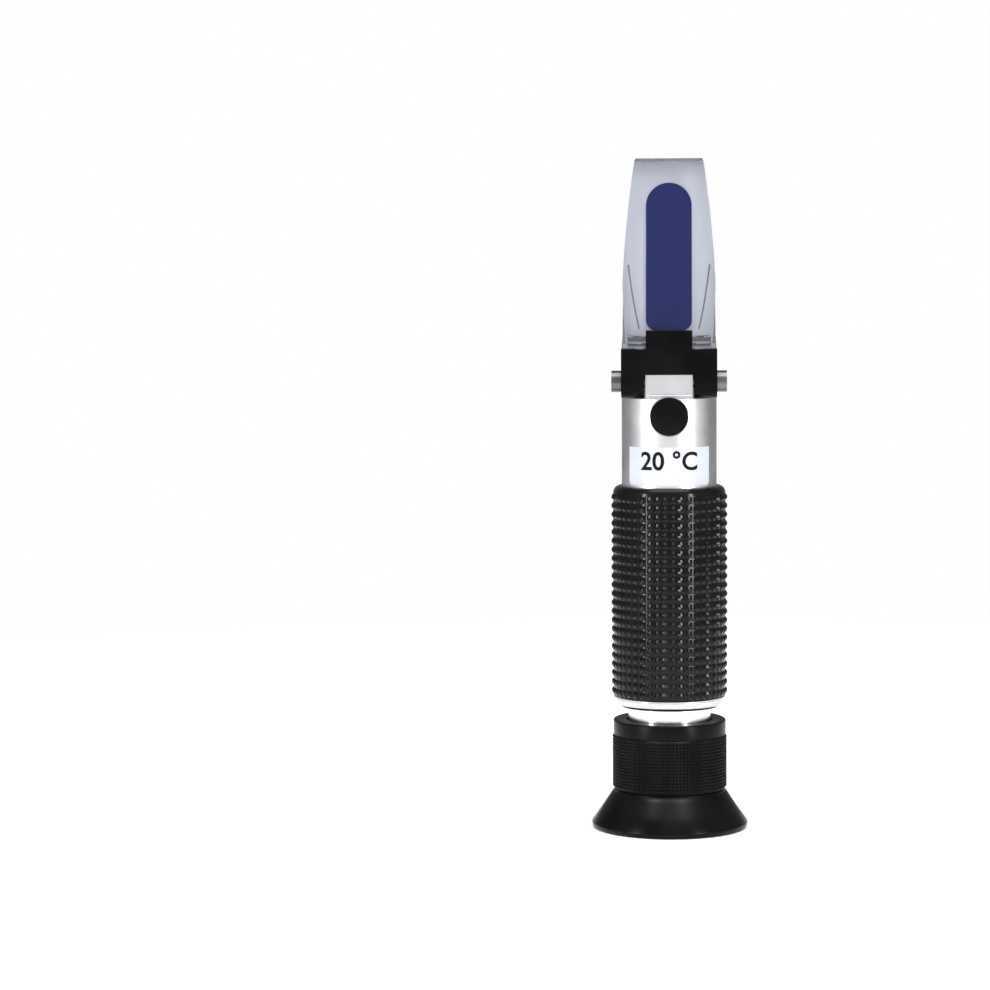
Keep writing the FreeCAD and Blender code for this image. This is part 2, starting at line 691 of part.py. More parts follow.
def make_head():
    spigot_end = head_bottom - s.tube_spigot
    blank_points = [
        (0, spigot_end),
        (tube_fit, spigot_end),
        (tube_fit, head_bottom),
        (s.tube_radius, head_bottom),
        (s.tube_radius, tip_level),
        (0, tip_level),
    ]
    side_points = [
        (-s.tube_radius, spigot_end),
        (s.tube_radius, spigot_end),
        (s.tube_radius, tip_level),
        (prism_face(tip_level), tip_level),
        (prism_face(nose_bottom), nose_bottom),
        (pocket_back, nose_bottom),
        (pocket_back, shoulder),
        (-s.tube_radius, shoulder),
    ]
    blank = turned("HeadBlank", blank_points)
    sides = front_outline("HeadSides", s.nose_inset, spigot_end)
    profile = padded("HeadProfile", "YZ_Plane", side_points, s.tube_radius * 2)
    casting = fused("Casting", common("HeadShape", blank, sides, profile), *lug())
    bore_length = bore_top - spigot_end
    aperture_length = gasket_level - bore_top
    cavity_low = (-s.tube_radius, -s.tube_radius, gasket_level)
    cavity_top = prism_top + s.prism_clamp_height + s.fit_gap
    cavity_high = (s.tube_radius, s.prism_back + s.fit_gap, cavity_top)
    cavity = common("PrismCavity", block("CavityBox", cavity_low, cavity_high),
                    *prism_envelope("Cavity", s.fit_gap))
    bush_hole = s.bush_radius + s.fit_gap
    tools = [
        cylinder("HeadBore", head_bore, bore_length, z=spigot_end),
        cylinder("Aperture", s.aperture_radius, aperture_length, y=s.aperture_offset, z=bore_top),
        cavity,
        cylinder("SpotFace", s.cap_radius + s.run_gap, s.tube_radius, y=-s.spot_face, z=cap_level,
                 turn=AGAINST_Y),
        cylinder("BushHole", bush_hole, s.tube_radius, z=cap_level, turn=AGAINST_Y),
        cylinder("PinHole", s.pin_radius + s.fit_gap, s.tube_radius * 2, x=-s.tube_radius, y=hinge_y,
                 z=hinge_level, turn=ALONG_X),
        prism_screw("PrismScrewHole", s.fit_gap, s.tube_radius + s.run_gap),
        *lock_screws("HeadHole", s.fit_gap),
        *clamp_screws("HeadScrewHole", s.carrier_radius, s.fit_gap),
    ]
    node("prism_head", cut("PrismHead", casting, *tools))


def lug():
    """The lug between the hinge legs: a round about the pin with a flat front, on a foot."""
    half = s.lug_half_width
    round_radius = s.hinge_radius + s.lug_margin
    barrel = cylinder("LugRound", round_radius, half * 2, x=-half, y=hinge_y, z=hinge_level, turn=ALONG_X)
    flat = block("LugFlat", (-half, -s.lug_front, shoulder), (half, pocket_back, block_top))
    foot = block("LugFoot", (-half, hinge_y - s.lug_foot, shoulder - s.head_roof / 2),
                 (half, pocket_back + s.hinge_play, hinge_level))
    return common("LugHead", barrel, flat), foot


def prism_screw(name, gap, end):
    """The screw through the back of the head into the prism's clamp, or the hole for it."""
    level = prism_top + s.prism_clamp_height / 2
    length = end - s.prism_back + s.prism_screw_reach
    return cylinder(name, s.prism_screw_radius + gap, length, y=end, z=level, turn=AGAINST_Y)


def prism_envelope(name, gap):
    """The space beside the prism's walls: inside the drawn-in sides and inside the head's round back."""
    sides = front_outline(f"{name}Sides", s.nose_inset + s.prism_wall - gap, hinge_level)
    radius = s.tube_radius - s.prism_wall + gap
    return sides, cylinder(f"{name}Round", radius, tip_level - hinge_level, z=hinge_level)


def make_prism():
    back = s.prism_back
    clamp_top = prism_top + s.prism_clamp_height

    def slice_of_prism(name, bottom, top):
        points = [
            (prism_face(bottom), bottom),
            (back, bottom),
            (back, top),
            (prism_face(top), top),
        ]
        wedge = padded(f"{name}Wedge", "YZ_Plane", points, s.tube_radius * 2)
        return common(name, wedge, *prism_envelope(name, as_size(0)))

    node("prism", slice_of_prism("Prism", prism_bottom, prism_top))
    clamp = slice_of_prism("ClampBlank", prism_top, clamp_top)
    hole = prism_screw("ClampScrewHole", s.fit_gap, s.tube_radius)
    node("prism_clamp", cut("PrismClamp", clamp, hole))
    node("prism_clamp_screw", prism_screw("PrismScrew", as_size(0), s.tube_radius - s.run_gap))
    gasket = slice_of_prism("GasketBlank", gasket_level, prism_bottom)
    light_path = cylinder("GasketHole", s.aperture_radius, s.gasket_thickness, y=s.aperture_offset,
                          z=gasket_level)
    node("prism_gasket", cut("PrismGasket", gasket, light_path))


def plate_slab(name, front_offset, back_offset, bottom):
    """A leaning slab between two distances behind the plate's front face."""
    points = [
        (plate_face(bottom) + front_offset, bottom),
        (plate_face(bottom) + back_offset, bottom),
        (plate_face(tip_level) + back_offset, tip_level),
        (plate_face(tip_level) + front_offset, tip_level),
    ]
    return padded(name, "YZ_Plane", points, whole_width)


def blue_window(name, gap):
    """The coloured window at the back of the daylight plate, or the recess for it."""
    half = s.filter_half_width + gap
    corner = s.filter_corner + gap
    foot = block_top + s.filter_foot - gap
    top = tip_level - s.filter_top_margin + gap
    points = [
        (corner - half, foot),
        (half - corner, foot),
        (half, foot + corner),
        (half, top - half),
        (0, top),
        (-half, top - half),
        (-half, foot + corner),
    ]
    arcs = {1: corner, 3: half, 4: half, 6: corner}
    shape = padded(f"{name}Shape", "XZ_Plane", points, whole_width, arcs)
    slab = plate_slab(f"{name}Slab", s.plate_depth - s.filter_depth - gap, s.plate_depth, block_top)
    return common(name, shape, slab)


def make_cover():
    round_side = cylinder("PlateRound", s.tube_radius, tip_level - block_top, z=block_top)
    sides = front_outline("PlateSides", as_size(0), hinge_level)
    slab = plate_slab("PlateSlab", as_size(0), s.plate_depth, block_top)
    plate = common("PlateShape", round_side, sides, slab)
    node("daylight_plate", cut("DaylightPlate", plate, blue_window("WindowRecess", s.fit_gap)))
    node("blue_filter", blue_window("BlueFilter", as_size(0)))
    width = s.tube_radius * 2
    legs = cylinder("LegRound", s.hinge_radius, width, x=-s.tube_radius, y=hinge_y, z=hinge_level,
                    turn=ALONG_X)
    upper = block("BlockUpper", (-s.tube_radius, -s.hinge_front, hinge_level),
                  (s.tube_radius, block_back, block_top))
    tab_top = block_top + s.tab_height
    tab_points = [
        (-s.hinge_front, block_top),
        (plate_face(block_top), block_top),
        (plate_face(tab_top), tab_top),
        (-s.hinge_front, tab_top),
    ]
    tab = padded("Tab", "YZ_Plane", tab_points, s.tab_half_width * 2)
    notch = cylinder("Notch", s.hinge_radius + s.leg_gap, leg_inside * 2, x=-leg_inside, y=hinge_y,
                     z=hinge_level, turn=ALONG_X)
    leg_hole = cylinder("LegHole", s.pin_radius + s.fit_gap * 2, width, x=-s.tube_radius, y=hinge_y,
                        z=hinge_level, turn=ALONG_X)
    node("hinge_block", cut("HingeBlock", fused("BlockBlank", legs, upper, tab), notch, leg_hole))


def make_hinge_pin():
    inside = s.tube_radius + s.fit_gap
    outside = inside + s.pin_head_length
    shank_end = outside - s.fit_gap * 4
    shank = cylinder("PinShank", s.pin_radius, inside + shank_end, x=-inside, y=hinge_y, z=hinge_level,
                     turn=ALONG_X)
    head = cylinder("PinHead", s.pin_head_radius, s.pin_head_length, x=-outside, y=hinge_y,
                    z=hinge_level, turn=ALONG_X)
    node("hinge_pin", fused("HingePin", shank, head))
    nut = cylinder("NutBlank", s.pin_head_radius, s.pin_head_length, x=inside, y=hinge_y, z=hinge_level,
                   turn=ALONG_X)
    nut_bore = cylinder("NutBore", s.pin_radius + s.fit_gap, s.pin_head_length, x=inside, y=hinge_y,
                        z=hinge_level, turn=ALONG_X)
    node("hinge_pin_nut", cut("HingePinNut", nut, nut_bore))


def make_label():
    top = shoulder - s.label_bottom
    bottom = top - s.label_height
    outer = s.tube_radius + s.label_thickness
    points = [(s.tube_radius, bottom), (outer, bottom), (outer, top), (s.tube_radius, top)]
    node("spec_label", place(turned("Label", points, angle=s.label_angle), turn=UPRIGHT))


def check_document():
    """Stop if any object failed or any finished piece has no sound shape."""
    for thing in document.Objects:
        if {"Invalid", "Error"} & set(thing.State):
            raise RuntimeError(f"{thing.Name} failed: {thing.State}")
    for label, thing in nodes.items():
        if thing.Shape.isNull() or not thing.Shape.isValid() or not thing.Shape.Solids:
            raise RuntimeError(f"{label} has no valid solid")


make_focus_ring()
make_eyepiece()
make_barrel()
make_reticle()
make_head()
make_label()
make_calibration()
make_carrier()
make_prism()
make_cover()
make_hinge_pin()
document.recompute()
check_document()
os.makedirs("parts", exist_ok=True)
for label, thing in nodes.items():
    thing.Shape.exportStep(f"parts/{label}.step")
    print(f"{label}: {thing.Shape.Volume:.1f} mm3, {len(thing.Shape.Solids)} solid(s)")
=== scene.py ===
"""Looks of the hand-held refractometer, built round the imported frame.  Metres; +Z up, front faces -Y."""
import math
import bpy
import bmesh
from mathutils import Euler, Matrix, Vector


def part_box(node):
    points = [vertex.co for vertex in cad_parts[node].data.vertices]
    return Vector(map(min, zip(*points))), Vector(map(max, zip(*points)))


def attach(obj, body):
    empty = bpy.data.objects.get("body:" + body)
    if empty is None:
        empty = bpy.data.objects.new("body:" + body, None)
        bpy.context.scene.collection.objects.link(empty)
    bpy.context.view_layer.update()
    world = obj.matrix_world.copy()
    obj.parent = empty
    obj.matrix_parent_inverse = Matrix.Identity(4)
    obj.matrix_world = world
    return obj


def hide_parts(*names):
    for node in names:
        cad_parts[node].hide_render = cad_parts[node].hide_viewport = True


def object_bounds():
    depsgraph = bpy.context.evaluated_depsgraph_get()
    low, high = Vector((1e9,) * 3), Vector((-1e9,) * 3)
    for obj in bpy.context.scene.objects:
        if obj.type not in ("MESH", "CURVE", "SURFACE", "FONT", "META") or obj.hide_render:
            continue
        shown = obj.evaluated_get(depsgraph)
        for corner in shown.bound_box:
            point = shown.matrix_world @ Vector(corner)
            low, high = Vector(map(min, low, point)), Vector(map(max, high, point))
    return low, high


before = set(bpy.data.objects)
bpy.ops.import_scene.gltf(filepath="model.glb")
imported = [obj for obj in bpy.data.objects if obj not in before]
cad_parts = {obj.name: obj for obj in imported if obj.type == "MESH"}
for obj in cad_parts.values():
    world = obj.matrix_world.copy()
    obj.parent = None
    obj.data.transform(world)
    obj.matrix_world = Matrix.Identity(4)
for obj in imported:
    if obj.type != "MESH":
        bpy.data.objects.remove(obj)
cad_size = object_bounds()
MM = 0.001
AIR = 0.05 * MM         # keeps a hollow piece clear of what it goes round


def low(node):
    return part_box(node)[0]


def high(node):
    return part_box(node)[1]


# ---------------------------------------------------------------- materials

SLOW_SCALE = 90.0       # noise cells in a metre: tone and gloss that wander over a whole piece
WAVE_SCALE = 120.0      # the same in clear pieces
GRAIN_DEPTH = 0.04 * MM
WAVE_DEPTH = 0.2 * MM
CLEAR_TONE = 0.96       # darkest tone of a clear piece, as a share of its colour


def link(tree, source, output, target, socket):
    tree.links.new(source.outputs[output], target.inputs[socket])


def new_material(name, **sockets):
    """A material whose shader sockets hold these constant values."""
    material = bpy.data.materials.new(name)
    material.use_nodes = True
    shader = material.node_tree.nodes["Principled BSDF"]
    for socket, value in sockets.items():
        shader.inputs[socket.replace("_", " ")].default_value = value
    return material, material.node_tree, shader


def add_noise(tree, scale, detail=4.0, stretch=(1.0, 1.0, 1.0)):
    """Noise in the piece's own frame, stretched along its axes."""
    place = tree.nodes.new("ShaderNodeTexCoord")
    mapping = tree.nodes.new("ShaderNodeMapping")
    mapping.inputs["Scale"].default_value = stretch
    noise = tree.nodes.new("ShaderNodeTexNoise")
    noise.inputs["Scale"].default_value = scale
    noise.inputs["Detail"].default_value = detail
    link(tree, place, "Object", mapping, "Vector")
    link(tree, mapping, "Vector", noise, "Vector")
    return noise


def add_range(tree, source, output, low_value, high_value):
    """The source's middle values spread between two numbers."""
    spread = tree.nodes.new("ShaderNodeMapRange")
    spread.inputs["From Min"].default_value = 0.3
    spread.inputs["From Max"].default_value = 0.7
    spread.inputs["To Min"].default_value = low_value
    spread.inputs["To Max"].default_value = high_value
    link(tree, source, output, spread, "Value")
    return spread


def add_bump(tree, shader, source, output, strength, distance):
    bump = tree.nodes.new("ShaderNodeBump")
    bump.inputs["Strength"].default_value = strength
    bump.inputs["Distance"].default_value = distance
    link(tree, source, output, bump, "Height")
    link(tree, bump, "Normal", shader, "Normal")


def vary_colour(tree, shader, source, dark, light):
    """Base colour that wanders between two tones with the source."""
    ramp = tree.nodes.new("ShaderNodeValToRGB")
    ramp.color_ramp.elements[0].position = 0.35
    ramp.color_ramp.elements[0].color = (*dark, 1.0)
    ramp.color_ramp.elements[1].position = 0.65
    ramp.color_ramp.elements[1].color = (*light, 1.0)
    link(tree, source, "Fac", ramp, "Fac")
    link(tree, ramp, "Color", shader, "Base Color")


def grained(name, dark, light, rough, grain=2500.0, bump=0.15, stretch=(1, 1, 1), **sockets):
    """Moulded or turned surface: slow tone and gloss changes with a fine grain on top."""
    material, tree, shader = new_material(name, **sockets)
    slow = add_noise(tree, SLOW_SCALE)
    fine = add_noise(tree, grain, detail=6.0, stretch=stretch)
    vary_colour(tree, shader, slow, dark, light)
    gloss = add_range(tree, slow, "Fac", rough[0], rough[1])
    link(tree, gloss, "Result", shader, "Roughness")
    add_bump(tree, shader, fine, "Fac", bump, GRAIN_DEPTH)
    return material


TURNED = (0.05, 0.05, 1.0)      # turning marks run round the optical axis
BLACKS = ((0.001, 0.001, 0.0015), (0.003, 0.003, 0.0035))
soft_rubber = grained("soft_rubber", *BLACKS, (0.24, 0.34), Specular_IOR_Level=0.1)
grip_rubber = grained("grip_rubber", *BLACKS, (0.10, 0.17), Specular_IOR_Level=0.2)
black_ring = grained("black_ring", *BLACKS, (0.24, 0.34), Specular_IOR_Level=0.1)
black_plastic = grained("black_plastic", *BLACKS, (0.42, 0.54), Specular_IOR_Level=0.06)
satin_metal = grained("satin_metal", (0.76, 0.76, 0.78), (0.83, 0.83, 0.845), (0.26, 0.34),
                      grain=4000.0, bump=0.06, Metallic=1.0)
turned_metal = grained("turned_metal", (0.72, 0.72, 0.74), (0.82, 0.82, 0.83), (0.20, 0.28),
                       grain=6000.0, bump=0.12, stretch=TURNED, Metallic=1.0)
polished_metal = grained("polished_metal", (0.56, 0.56, 0.57), (0.64, 0.64, 0.65), (0.14, 0.22),
                         grain=6000.0, bump=0.05, stretch=TURNED, Metallic=1.0)
steel = grained("steel", (0.13, 0.13, 0.135), (0.19, 0.19, 0.195), (0.26, 0.38), grain=3000.0,
                bump=0.1, stretch=(1.0, 0.1, 0.1), Metallic=1.0)
brass = grained("brass", (0.55, 0.40, 0.16), (0.68, 0.52, 0.24), (0.22, 0.32), Metallic=1.0)
bimetal = grained("bimetal", (0.45, 0.36, 0.26), (0.60, 0.50, 0.38), (0.28, 0.40), Metallic=1.0)
black_metal = grained("black_metal", (0.012, 0.012, 0.012), (0.022, 0.022, 0.023), (0.5, 0.6))
label_film = grained("label_film", (0.49, 0.52, 0.57), (0.55, 0.57, 0.62), (0.30, 0.40), bump=0.03)
print_ink = grained("print_ink", (0.004, 0.004, 0.005), (0.008, 0.008, 0.009), (0.6, 0.7), bump=0.05,
                    Specular_IOR_Level=0.1)


def clear(name, colour, rough, ior, waves, transmission=1.0, gloss_level=0.5):
    """Glass or clear plastic with faint moulding waves."""
    material, tree, shader = new_material(name, IOR=ior, Transmission_Weight=transmission,
                                          Specular_IOR_Level=gloss_level)
    slow = add_noise(tree, WAVE_SCALE)
    vary_colour(tree, shader, slow, tuple(CLEAR_TONE * c for c in colour), colour)
    gloss = add_range(tree, slow, "Fac", rough[0], rough[1])
    link(tree, gloss, "Result", shader, "Roughness")
    add_bump(tree, shader, slow, "Fac", waves, WAVE_DEPTH)
    return material


clear_plastic = clear("clear_plastic", (0.93, 0.93, 0.96), (0.04, 0.10), 1.46, 0.05, gloss_level=0.1)
frosted_back = clear("frosted_back", (0.70, 0.73, 0.81), (0.40, 0.55), 1.46, 0.05, transmission=0.25)
# dark, half-clear stuff that paints shade on the plate: in its grooves, along the front's edge lines and
# at the tip
painted_shade = clear("painted_shade", (0.10, 0.10, 0.12), (0.25, 0.35), 1.46, 0.02, transmission=0.2)
optical_glass = clear("optical_glass", (0.90, 0.92, 0.94), (0.01, 0.04), 1.52, 0.01)
scale_glass = clear("scale_glass", (0.86, 0.92, 0.96), (0.02, 0.06), 1.52, 0.01)
blue_plastic = clear("blue_plastic", (0.005, 0.012, 0.11), (0.30, 0.40), 1.49, 0.02, transmission=0.0,
                     gloss_level=0.05)

NODE_MATERIALS = {
    satin_metal: ("prism_head", "main_tube", "prism_clamp"),
    turned_metal: ("eyepiece_tube",),
    polished_metal: ("end_ring",),
    steel: ("hinge_pin", "hinge_pin_nut", "tube_lock_screws", "clamp_screws", "prism_clamp_screw",
            "focus_key", "retainer_ring"),
    brass: ("calibration_screw", "calibration_bush", "lens_carrier", "bimetal_clamp"),
    bimetal: ("bimetal_strip",),
    black_metal: ("light_baffle", "spacer_tube", "reticle_spacer", "reticle_holder", "reticle_ring",
                  "lens_spacer", "eye_lens_ring", "objective_ring", "eyepiece_barrel"),
    black_plastic: ("hinge_block",),
    soft_rubber: ("calibration_cap", "prism_gasket"),
    optical_glass: ("prism", "eye_lens", "field_lens", "objective_lens"),
    scale_glass: ("reticle",),
    blue_plastic: ("blue_filter",),
}
BEVELS_MM = {"hinge_block": 0.45, "hinge_pin": 0.45, "hinge_pin_nut": 0.45, "prism_head": 0.15,
             "calibration_cap": 0.25, "end_ring": 0.08, "blue_filter": 0.1}


def soften_edges(thing, width):
    """Round the sharp edges of a CAD node without touching its own mesh."""
    bevel = thing.modifiers.new("Edges", "BEVEL")
    bevel.width = width
    bevel.segments = 3
    bevel.limit_method = "ANGLE"
    bevel.angle_limit = math.radians(35)
    bevel.harden_normals = True


def dress_nodes():
    for material, names in NODE_MATERIALS.items():
        for name in names:
            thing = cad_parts[name]
            thing.data.materials.clear()
            thing.data.materials.append(material)
            if name in BEVELS_MM:
                soften_edges(thing, BEVELS_MM[name] * MM)


# ---------------------------------------------------------------- mesh helpers

def finish_piece(name, mesh_tool, material, body, slot, *replaced, smooth_below=32):
    """Turn a bmesh into a named piece that rides on a body."""
    bmesh.ops.recalc_face_normals(mesh_tool, faces=mesh_tool.faces)
    mesh = bpy.data.meshes.new(name)
    mesh_tool.to_mesh(mesh)
    mesh_tool.free()
    mesh.materials.append(material)
    piece = bpy.data.objects.new(name, mesh)
    bpy.context.collection.objects.link(piece)
    smooth_by_angle(piece, smooth_below)
    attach(piece, body)
    if replaced:
        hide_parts(*replaced)
    return piece


def smooth_by_angle(piece, degrees):
    mesh = piece.data
    mesh.polygons.foreach_set("use_smooth", [True] * len(mesh.polygons))
    mesh.set_sharp_from_angle(angle=math.radians(degrees))


def swept_ring(rows, columns, point):
    """A closed ring of quads: point(row, column) gives each corner; both ways wrap round."""
    tool = bmesh.new()
    grid = [[tool.verts.new(point(row, column)) for column in range(columns)] for row in range(rows)]
    for row in range(rows):
        above = grid[(row + 1) % rows]
        here = grid[row]
        for column in range(columns):
            beside = (column + 1) % columns
            tool.faces.new((here[column], here[beside], above[beside], above[column]))
    return tool


def round_corner(centre, radius, start, end, steps=5):
    """Profile points on an arc about a centre, between two angles in degrees."""
    points = []
    for step in range(steps + 1):
        angle = math.radians(start + (end - start) * step / steps)
        points.append((centre[0] + radius * math.cos(angle), centre[1] + radius * math.sin(angle)))
    return points


def in_metres(points):
    return [(radius * MM, height * MM) for radius, height in points]


def plain_rows(points):
    """Profile rows of a textured ring that carry no studs."""
    return [(radius, height, None) for radius, height in points]


def on_axis(radius, angle, height):
    """A point at a radius about the optical axis; angle 0 is the front."""
    return Vector((radius * math.sin(angle), -radius * math.cos(angle), height))


def lathe(profile, columns=160):
    turn = 2 * math.pi / columns
    return swept_ring(len(profile), columns, lambda row, column: on_axis(
        profile[row][0], column * turn, profile[row][1]))


def textured_ring(profile, studs_round, fractions, relief):
    """A turned ring with raised studs.

    Each profile row is (radius, height, share of the stud's height), with None for a plain row.
    """
    samples = [(stud + part) / studs_round for stud in range(studs_round) for part in fractions]

    def point(row, column):
        radius, height, along = profile[row]
        share = samples[column]
        if along is not None:
            radius += relief(share * studs_round % 1.0, along)
        return on_axis(radius, share * 2 * math.pi, height)

    return swept_ring(len(profile), len(samples), point)


STUD_SMOOTH = 15        # degrees below which edges are smooth on studded pieces, so that studs stay crisp


def pyramid(across, along, flat):
    """Height from 0 to 1 of a blunt square pyramid over its cell, whose middle is at 0.5, 0.5."""
    edge = 2 * max(abs(across - 0.5), abs(along - 0.5))
    return min(1.0, (1.0 - edge) / (1.0 - flat))


# ---------------------------------------------------------------- rubber grip

GRIP_ROWS = 23
GRIP_STUDS_ROUND = 45
GRIP_PARTS = (0.0, 0.10, 0.40, 0.5, 0.60, 0.90)     # where each stud is sampled, across and along
GRIP_GAP = 0.09             # plain share of a stud's cell on each side
GRIP_FLAT = 0.24            # flat share of a stud's top
GRIP_SHOULDER = 1.8 * MM    # round upper edge
GRIP_LEAD = 0.25 * MM       # plain strip under the first row
GRIP_TAIL = 0.05 * MM       # plain strip over the last row
GRIP_FOOT = ((0.3 * MM, 0.0), (0.0, 0.2 * MM))      # small lower edge: how far in, how far up


def make_grip():
    foot, top = low("grip_sleeve").z, high("grip_sleeve").z
    inside = high("main_tube").x + AIR
    base = high("end_ring").x
    height = high("grip_sleeve").x - base
    pitch = (top - GRIP_SHOULDER - foot - GRIP_LEAD - GRIP_TAIL) / GRIP_ROWS
    profile = plain_rows([(inside, foot)] + [(base - inward, foot + up) for inward, up in GRIP_FOOT])
    for row in range(GRIP_ROWS):
        for part in GRIP_PARTS:
            profile.append((base, foot + GRIP_LEAD + (row + part) * pitch, part))
    shoulder_centre = (base - GRIP_SHOULDER, top - GRIP_SHOULDER)
    profile += plain_rows(round_corner(shoulder_centre, GRIP_SHOULDER, 0, 90) + [(inside, top)])

    def within_stud(share):
        return min(max((share - GRIP_GAP) / (1 - 2 * GRIP_GAP), 0.0), 1.0)

    def relief(across, along):
        return height * pyramid(within_stud(across), within_stud(along), GRIP_FLAT)

    tool = textured_ring(profile, GRIP_STUDS_ROUND, GRIP_PARTS, relief)
    finish_piece("grip_studded_sleeve", tool, grip_rubber, "barrel", "grip_rubber", "grip_sleeve",
                 smooth_below=STUD_SMOOTH)


# ---------------------------------------------------------------- focus ring and eyecup

RING_FLOOR = 2.4 * MM           # thickness under the eyepiece barrel
RING_SPIGOT = 12.0 * MM         # radius of the part inside the eyecup
RING_OPENING = 7.4 * MM         # radius of the opening to the eye
RING_BAND_STEP = 0.3 * MM       # how far the smooth band stands back from the knurl
RING_EDGES = (0.5 * MM, 0.3 * MM)       # round upper edges, outside and inside
KNURL_RISE = 14.0 * MM          # height of the knurl's end over the eyecup
KNURL_DEPTH = 0.32 * MM
KNURL_ROWS = 16
KNURL_STUDS_ROUND = 105
KNURL_PARTS = (0.0, 0.25, 0.5, 0.75)
KNURL_FLAT = 0.2
KNURL_MARGINS = (0.5 * MM, 0.3 * MM)    # plain strips under and over the knurl
KNURL_BEVEL = 0.35 * MM         # lower edge of the knurled part
KNURL_END_MM = ((0.0, -0.25), (-0.12, -0.1))    # how far out and up of the knurl's base and end
BAND_FOOT = 0.1 * MM            # height of the band's foot over the knurl's end


def make_focus_ring():
    bottom, top = low("focus_ring").z, high("focus_ring").z
    outer = high("focus_ring").x
    floor = bottom + RING_FLOOR
    bore = high("retainer_ring").x + AIR
    cup_top = high("eyecup").z
    knurl_top = cup_top + KNURL_RISE
    band = outer - RING_BAND_STEP
    base = outer - KNURL_DEPTH
    start = cup_top + KNURL_MARGINS[0]
    pitch = (knurl_top - KNURL_MARGINS[1] - start) / KNURL_ROWS
    profile = plain_rows([(RING_OPENING, bottom), (RING_SPIGOT, bottom), (RING_SPIGOT, cup_top),
                          (base - KNURL_BEVEL, cup_top), (base, cup_top + KNURL_BEVEL)])
    for row in range(KNURL_ROWS):
        for part in KNURL_PARTS:
            profile.append((base, start + (row + part) * pitch, part))
    outer_edge, inner_edge = RING_EDGES
    profile += plain_rows(
        [(base + out, knurl_top + up) for out, up in in_metres(KNURL_END_MM)]
        + [(band, knurl_top + BAND_FOOT)]
        + round_corner((band - outer_edge, top - outer_edge), outer_edge, 0, 90)
        + round_corner((bore + inner_edge, top - inner_edge), inner_edge, 90, 180)
        + [(bore, floor), (RING_OPENING, floor)])

    def relief(across, along):
        return (outer - base) * pyramid(across, along, KNURL_FLAT)

    tool = textured_ring(profile, KNURL_STUDS_ROUND, KNURL_PARTS, relief)
    finish_piece("focus_ring_knurled", tool, black_ring, "focus", "black_ring", "focus_ring",
                 smooth_below=STUD_SMOOTH)


CUP_FOOT_MM = ((17.6, 0.0), (17.75, 0.0))                           # flat that the cup stands on
CUP_FLARE_MM = ((17.2, 5.2), (15.1, 8.45), (14.35, 9.45), (14.2, 9.55))
CUP_SOCKET_MM = ((12.05, 6.1), (9.6, 6.1))                          # seat of the focus ring's spigot
CUP_HOLLOW_MM = ((9.6, 5.5), (9.9, 5.2), (13.6, 2.75), (16.9, 0.55))
CUP_RIM = 1.2 * MM              # round of the widest edge
CUP_LIP = 0.45 * MM             # round of the upper edge


def make_eyecup():
    top = high("eyecup").z
    widest = high("eyecup").x
    flare, socket = in_metres(CUP_FLARE_MM), in_metres(CUP_SOCKET_MM)
    neck, bore = flare[-1][0], socket[0][0]
    profile = in_metres(CUP_FOOT_MM)
    profile += round_corner((widest - CUP_RIM, CUP_RIM), CUP_RIM, -90, 15, 8)
    profile += flare + round_corner((neck - CUP_LIP, top - CUP_LIP), CUP_LIP, 10, 90, 4)
    profile += [(bore, top)] + socket + in_metres(CUP_HOLLOW_MM)
    finish_piece("eyecup_flared", lathe(profile), soft_rubber, "focus", "soft_rubber", "eyecup")


# ---------------------------------------------------------------- daylight plate

PLATE_SLOPE = 0.2           # backward lean of the plate, as the frame has it
PLATE_DEPTH = 4.54 * MM     # the blue window stands a hair proud of the back
PLATE_TAPER = 3.1 * MM      # height over the foot where the sides start to draw in
TIP_HALF = 8.6 * MM         # half-width of the tip
TIP_INSET = 0.25 * MM       # how far the tip's end stands in
TIP_SHADE = 0.65 * MM        # height of the painted shade band at the tip
SIDE_ARC = 300.0 * MM       # radius of the drawn-in sides
SIDE_POINTS = 7
CHAMFER = 0.9 * MM
CHAMFER_DEPTH = 0.7 * MM
EDGE_SHADE_LINE = 0.4 * MM        # width of the painted shade line where the flat front meets the round side
LINE_SPAN = (4.0 * MM, 20.0 * MM)       # lower and upper end of that line over the foot
GROOVE = 0.22 * MM
GROOVES_MM = ((1.05, 0.22), (2.4, 0.45))        # height over the foot and half-width of each groove
GROOVE_WALL_MM = 0.05
GROOVE_BACK = 1.2           # depth that the plate loses at a groove, as a share of the groove's
FOOT_BEVEL = 0.12 * MM      # height of the small bevel round the foot
SHALLOW_FOOT = 3.2 * MM     # a shallower groove over the other two: its foot over the plate's,
SHALLOW_MIDDLE = 0.15 * MM  # its deepest level and its end over its own foot,
SHALLOW_END = 0.6 * MM
SHALLOW_SHARE = 0.6         # and its depth as a share of the others'
PLATE_LEVELS = 36
PAINTED_SHADE_FACE = 1           # material slots of the plate, after the clear one: painted shade, then the frosted back
FROSTED_FACE = 2


def plate_levels(foot, tip):
    """Heights of the plate's cross-sections, with how far each stands in: fine grooves at the foot."""
    levels = [(foot, GROOVE), (foot + FOOT_BEVEL, 0.0)]
    for middle, half in GROOVES_MM:
        mouth = half + GROOVE_WALL_MM
        for step, inset in ((-mouth, 0.0), (-half, GROOVE), (half, GROOVE), (mouth, 0.0)):
            levels.append((foot + (middle + step) * MM, inset))
    shallow = foot + SHALLOW_FOOT
    levels += [(shallow, 0.0), (shallow + SHALLOW_MIDDLE, GROOVE * SHALLOW_SHARE)]
    start = shallow + SHALLOW_END
    for step in range(PLATE_LEVELS):
        levels.append((start + (tip - TIP_SHADE - start) * step / (PLATE_LEVELS - 1), 0.0))
    levels.append((tip, TIP_INSET))
    return levels


